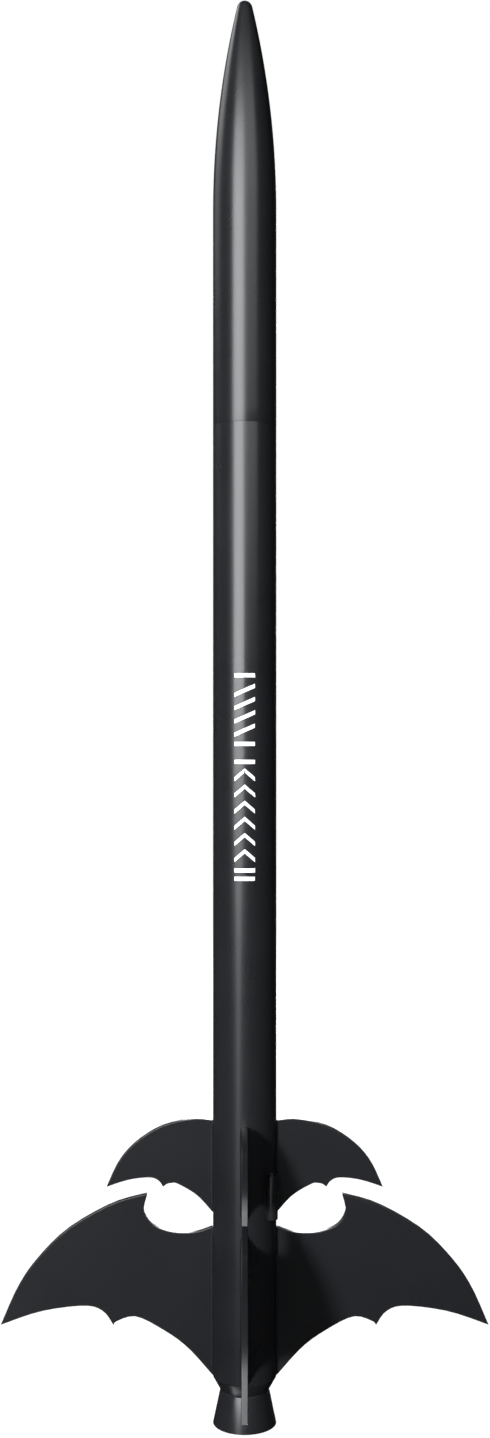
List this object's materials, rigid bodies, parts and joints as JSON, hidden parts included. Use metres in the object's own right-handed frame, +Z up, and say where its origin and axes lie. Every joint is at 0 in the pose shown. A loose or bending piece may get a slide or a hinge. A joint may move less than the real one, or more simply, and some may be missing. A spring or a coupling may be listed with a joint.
{
  "type": "model rocket",
  "caption": "Slim model rocket with an ogive nose that pulls off, two tiers of scalloped wing-shaped fins, an engine mount with a spring hook and a flared exhaust nozzle.",
  "frame": {"origin": "centre of the exhaust nozzle's exit rim, on the plane that the rocket stands on", "axes": "+Z up the airframe towards the nose tip; the four fin sets stand in the planes of the X and Y axes; the launch lug is between the -Y and +X fins"},
  "size_m": [0.1908, 0.1908, 0.5561],
  "materials": {
    "nose_paint": "semi-gloss black",
    "tube_paint": "satin black paint on paper tube",
    "tail_paint": "satin black moulding",
    "fin_paint": "satin black paint on sealed balsa",
    "kraft_paper": "spiral-wound kraft paper",
    "fibre_board": "dense fibre board",
    "band_film": "tight polyester film band",
    "spring_steel": "tempered spring steel",
    "white_paper": "folded bond paper",
    "canopy_film": "thin polyethylene film"
  },
  "bodies": {
    "airframe": {"body_tube": "tube_paint", "boat_tail": "tail_paint", "exhaust_nozzle": "tail_paint", "upper_fin_right": "fin_paint", "upper_fin_back": "fin_paint", "upper_fin_left": "fin_paint", "upper_fin_front": "fin_paint", "lower_fin_right": "fin_paint", "lower_fin_back": "fin_paint", "lower_fin_left": "fin_paint", "lower_fin_front": "fin_paint", "launch_lug": "tube_paint", "engine_tube": "kraft_paper", "thrust_ring": "kraft_paper", "forward_centering_ring": "fibre_board", "aft_centering_ring": "fibre_board", "hook_band": "band_film", "engine_hook_shank": "spring_steel", "shock_cord_anchor": "white_paper"},
    "nose": {"nose_cone": "nose_paint", "nose_base_plug": "nose_paint"},
    "parachute": {"parachute": "canopy_film"},
    "hook": {"engine_hook_tail": "spring_steel"}
  },
  "joints": [
    {"name": "nose_pull_off", "type": "slide", "parent": "airframe", "child": "nose", "axis": [0, 0, 1], "range_m": [0, 0.045]},
    {"name": "parachute_draw_out", "type": "slide", "parent": "airframe", "child": "parachute", "axis": [0, 0, 1], "range_m": [0, 0.045]},
    {"name": "hook_flex", "type": "hinge", "parent": "airframe", "child": "hook", "pos_m": [-0.00689, 0.00689, 0.036], "axis": [0.7071, 0.7071, 0], "range_deg": [0, 3.5], "stiffness_Nm_per_rad": 2}
  ],
  "couplings": [
    {"joint": "parachute_draw_out", "follows": "nose_pull_off", "ratio": 1}
  ]
}
